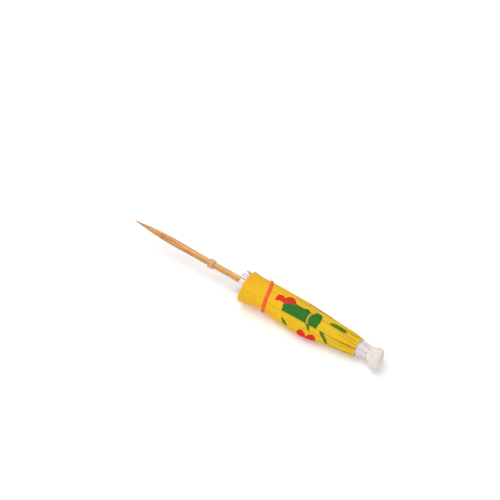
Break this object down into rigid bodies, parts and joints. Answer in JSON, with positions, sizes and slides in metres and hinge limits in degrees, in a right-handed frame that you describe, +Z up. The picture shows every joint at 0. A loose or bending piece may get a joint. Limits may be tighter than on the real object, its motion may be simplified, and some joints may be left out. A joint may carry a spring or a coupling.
{
  "type": "cocktail umbrella pick",
  "caption": "Closed paper cocktail umbrella on a pointed bamboo pick: creased card ribs and struts fold a pleated tissue canopy, held shut by an elastic band.",
  "frame": {"origin": "centre of the bounding box's bottom face, on the surface the closed umbrella lies on", "axes": "+X along the pick from its point towards the cap, +Z up; the pick dips towards the cap so that hem and cap both touch the surface"},
  "size_m": [0.1, 0.0118, 0.0119],
  "materials": {
    "bamboo": "matte, fine lengthwise fibres",
    "pressed_pulp": "matte, slightly lumpy",
    "white_card": "matte, uncoated",
    "grey_card": "matte, uncoated",
    "newsprint": "matte, rolled",
    "clear_tube": "translucent, soft gloss",
    "coral_elastic": "satin, slightly translucent",
    "yellow_tissue": "matte tissue, creased, printed with flowers and leaves"
  },
  "bodies": {
    "stick": {"pick": "bamboo", "cap": "pressed_pulp", "crown_ring": "white_card"},
    "runner": {"runner_collar": "grey_card", "runner_sleeve": "newsprint"},
    "ring": {"retaining_ring": "clear_tube"},
    "band": {"tie_band": "coral_elastic"},
    "rib_1": {"rib_1": "white_card", "strut_tab_1": "grey_card"},
    "strut_1": {"strut_1": "grey_card"},
    "gore_1": {"canopy_gore_1": "yellow_tissue"},
    "rib_2": {"rib_2": "white_card", "strut_tab_2": "grey_card"},
    "strut_2": {"strut_2": "grey_card"},
    "gore_2": {"canopy_gore_2": "yellow_tissue"},
    "rib_3": {"rib_3": "white_card", "strut_tab_3": "grey_card"},
    "strut_3": {"strut_3": "grey_card"},
    "gore_3": {"canopy_gore_3": "yellow_tissue"},
    "rib_4": {"rib_4": "white_card", "strut_tab_4": "grey_card"},
    "strut_4": {"strut_4": "grey_card"},
    "gore_4": {"canopy_gore_4": "yellow_tissue"},
    "rib_5": {"rib_5": "white_card", "strut_tab_5": "grey_card"},
    "strut_5": {"strut_5": "grey_card"},
    "gore_5": {"canopy_gore_5": "yellow_tissue"},
    "rib_6": {"rib_6": "white_card", "strut_tab_6": "grey_card"},
    "strut_6": {"strut_6": "grey_card"},
    "gore_6": {"canopy_gore_6": "yellow_tissue"},
    "rib_7": {"rib_7": "white_card", "strut_tab_7": "grey_card"},
    "strut_7": {"strut_7": "grey_card"},
    "gore_7": {"canopy_gore_7": "yellow_tissue"},
    "rib_8": {"rib_8": "white_card", "strut_tab_8": "grey_card"},
    "strut_8": {"strut_8": "grey_card"},
    "gore_8": {"canopy_gore_8": "yellow_tissue"}
  },
  "joints": [
    {"name": "runner_slide", "type": "slide", "parent": "stick", "child": "runner", "axis": [0.9992, 0, -0.041], "range_m": [0, 0.02425], "deforming": ["canopy_gore_1", "canopy_gore_2", "canopy_gore_3", "canopy_gore_4", "canopy_gore_5", "canopy_gore_6", "canopy_gore_7", "canopy_gore_8", "tie_band"]},
    {"name": "ring_slide", "type": "slide", "parent": "runner", "child": "ring", "axis": [0.9992, 0, -0.041], "range_m": [-0.001, 0.0131]},
    {"name": "rib_1_crease", "type": "hinge", "parent": "stick", "child": "rib_1", "pos_m": [0.04454, -0.00079, 0.00593], "axis": [0.0157, 0.9239, 0.3824], "range_deg": [0, 63.1]},
    {"name": "strut_1_crease", "type": "hinge", "parent": "rib_1", "child": "strut_1", "pos_m": [0.02468, -0.00131, 0.008], "axis": [-0.0157, -0.9239, -0.3824], "range_deg": [0, 126.2]},
    {"name": "gore_1_fold", "type": "hinge", "parent": "rib_1", "child": "gore_1", "pos_m": [0.03795, -0.01022, 0.01453], "axis": [-0.4678, -0.615, 0.6348], "range_deg": [0, 46.21]},
    {"name": "rib_2_crease", "type": "hinge", "parent": "stick", "child": "rib_2", "pos_m": [0.0445, -0.0019, 0.00482], "axis": [0.0379, 0.3827, 0.9231], "range_deg": [0, 63.1]},
    {"name": "strut_2_crease", "type": "hinge", "parent": "rib_2", "child": "strut_2", "pos_m": [0.0246, -0.00315, 0.00615], "axis": [-0.0379, -0.3827, -0.9231], "range_deg": [0, 126.2]},
    {"name": "gore_2_fold", "type": "hinge", "parent": "rib_2", "child": "gore_2", "pos_m": [0.03754, -0.01445, 0.00432], "axis": [-0.493, -0.8698, 0.0202], "range_deg": [0, 46.21]},
    {"name": "rib_3_crease", "type": "hinge", "parent": "stick", "child": "rib_3", "pos_m": [0.04443, -0.0019, 0.00325], "axis": [0.0379, -0.3827, 0.9231], "range_deg": [0, 63.1]},
    {"name": "strut_3_crease", "type": "hinge", "parent": "rib_3", "child": "strut_3", "pos_m": [0.02449, -0.00315, 0.00355], "axis": [-0.0379, 0.3827, -0.9231], "range_deg": [0, 126.2]},
    {"name": "gore_3_fold", "type": "hinge", "parent": "rib_3", "child": "gore_3", "pos_m": [0.03712, -0.01022, -0.00589], "axis": [-0.5182, -0.615, -0.5943], "range_deg": [0, 46.21]},
    {"name": "rib_4_crease", "type": "hinge", "parent": "stick", "child": "rib_4", "pos_m": [0.04439, -0.00079, 0.00214], "axis": [0.0157, -0.9239, 0.3824], "range_deg": [0, 63.1]},
    {"name": "strut_4_crease", "type": "hinge", "parent": "rib_4", "child": "strut_4", "pos_m": [0.02442, -0.00131, 0.0017], "axis": [-0.0157, 0.9239, -0.3824], "range_deg": [0, 126.2]},
    {"name": "gore_4_fold", "type": "hinge", "parent": "rib_4", "child": "gore_4", "pos_m": [0.03694, 0, -0.01012], "axis": [-0.5287, 0, -0.8488], "range_deg": [0, 46.21]},
    {"name": "rib_5_crease", "type": "hinge", "parent": "stick", "child": "rib_5", "pos_m": [0.04439, 0.00079, 0.00214], "axis": [-0.0157, -0.9239, -0.3824], "range_deg": [0, 63.1]},
    {"name": "strut_5_crease", "type": "hinge", "parent": "rib_5", "child": "strut_5", "pos_m": [0.02442, 0.00131, 0.0017], "axis": [0.0157, 0.9239, 0.3824], "range_deg": [0, 126.2]},
    {"name": "gore_5_fold", "type": "hinge", "parent": "rib_5", "child": "gore_5", "pos_m": [0.03712, 0.01022, -0.00589], "axis": [-0.5182, 0.615, -0.5943], "range_deg": [0, 46.21]},
    {"name": "rib_6_crease", "type": "hinge", "parent": "stick", "child": "rib_6", "pos_m": [0.04443, 0.0019, 0.00325], "axis": [-0.0379, -0.3827, -0.9231], "range_deg": [0, 63.1]},
    {"name": "strut_6_crease", "type": "hinge", "parent": "rib_6", "child": "strut_6", "pos_m": [0.02449, 0.00315, 0.00355], "axis": [0.0379, 0.3827, 0.9231], "range_deg": [0, 126.2]},
    {"name": "gore_6_fold", "type": "hinge", "parent": "rib_6", "child": "gore_6", "pos_m": [0.03754, 0.01445, 0.00432], "axis": [-0.493, 0.8698, 0.0202], "range_deg": [0, 46.21]},
    {"name": "rib_7_crease", "type": "hinge", "parent": "stick", "child": "rib_7", "pos_m": [0.0445, 0.0019, 0.00482], "axis": [-0.0379, 0.3827, -0.9231], "range_deg": [0, 63.1]},
    {"name": "strut_7_crease", "type": "hinge", "parent": "rib_7", "child": "strut_7", "pos_m": [0.0246, 0.00315, 0.00615], "axis": [0.0379, -0.3827, 0.9231], "range_deg": [0, 126.2]},
    {"name": "gore_7_fold", "type": "hinge", "parent": "rib_7", "child": "gore_7", "pos_m": [0.03795, 0.01022, 0.01453], "axis": [-0.4678, 0.615, 0.6348], "range_deg": [0, 46.21]},
    {"name": "rib_8_crease", "type": "hinge", "parent": "stick", "child": "rib_8", "pos_m": [0.04454, 0.00079, 0.00593], "axis": [-0.0157, 0.9239, -0.3824], "range_deg": [0, 63.1]},
    {"name": "strut_8_crease", "type": "hinge", "parent": "rib_8", "child": "strut_8", "pos_m": [0.02468, 0.00131, 0.008], "axis": [0.0157, -0.9239, 0.3824], "range_deg": [0, 126.2]},
    {"name": "gore_8_fold", "type": "hinge", "parent": "rib_8", "child": "gore_8", "pos_m": [0.03813, 0, 0.01876], "axis": [-0.4573, 0, 0.8893], "range_deg": [0, 46.21]},
    {"name": "band_slide", "type": "slide", "parent": "stick", "child": "band", "axis": [-0.9992, 0, 0.041], "range_m": [0, 0.03]}
  ],
  "couplings": [
    {"joint": "rib_1_crease", "follows": "runner_slide", "rad_per_m": 45.415},
    {"joint": "strut_1_crease", "follows": "runner_slide", "rad_per_m": 90.829},
    {"joint": "gore_1_fold", "follows": "runner_slide", "rad_per_m": 33.253},
    {"joint": "rib_2_crease", "follows": "runner_slide", "rad_per_m": 45.415},
    {"joint": "strut_2_crease", "follows": "runner_slide", "rad_per_m": 90.829},
    {"joint": "gore_2_fold", "follows": "runner_slide", "rad_per_m": 33.253},
    {"joint": "rib_3_crease", "follows": "runner_slide", "rad_per_m": 45.415},
    {"joint": "strut_3_crease", "follows": "runner_slide", "rad_per_m": 90.829},
    {"joint": "gore_3_fold", "follows": "runner_slide", "rad_per_m": 33.253},
    {"joint": "rib_4_crease", "follows": "runner_slide", "rad_per_m": 45.415},
    {"joint": "strut_4_crease", "follows": "runner_slide", "rad_per_m": 90.829},
    {"joint": "gore_4_fold", "follows": "runner_slide", "rad_per_m": 33.253},
    {"joint": "rib_5_crease", "follows": "runner_slide", "rad_per_m": 45.415},
    {"joint": "strut_5_crease", "follows": "runner_slide", "rad_per_m": 90.829},
    {"joint": "gore_5_fold", "follows": "runner_slide", "rad_per_m": 33.253},
    {"joint": "rib_6_crease", "follows": "runner_slide", "rad_per_m": 45.415},
    {"joint": "strut_6_crease", "follows": "runner_slide", "rad_per_m": 90.829},
    {"joint": "gore_6_fold", "follows": "runner_slide", "rad_per_m": 33.253},
    {"joint": "rib_7_crease", "follows": "runner_slide", "rad_per_m": 45.415},
    {"joint": "strut_7_crease", "follows": "runner_slide", "rad_per_m": 90.829},
    {"joint": "gore_7_fold", "follows": "runner_slide", "rad_per_m": 33.253},
    {"joint": "rib_8_crease", "follows": "runner_slide", "rad_per_m": 45.415},
    {"joint": "strut_8_crease", "follows": "runner_slide", "rad_per_m": 90.829},
    {"joint": "gore_8_fold", "follows": "runner_slide", "rad_per_m": 33.253},
    {"joint": "band_slide", "follows": "runner_slide", "ratio": 1.2371}
  ]
}
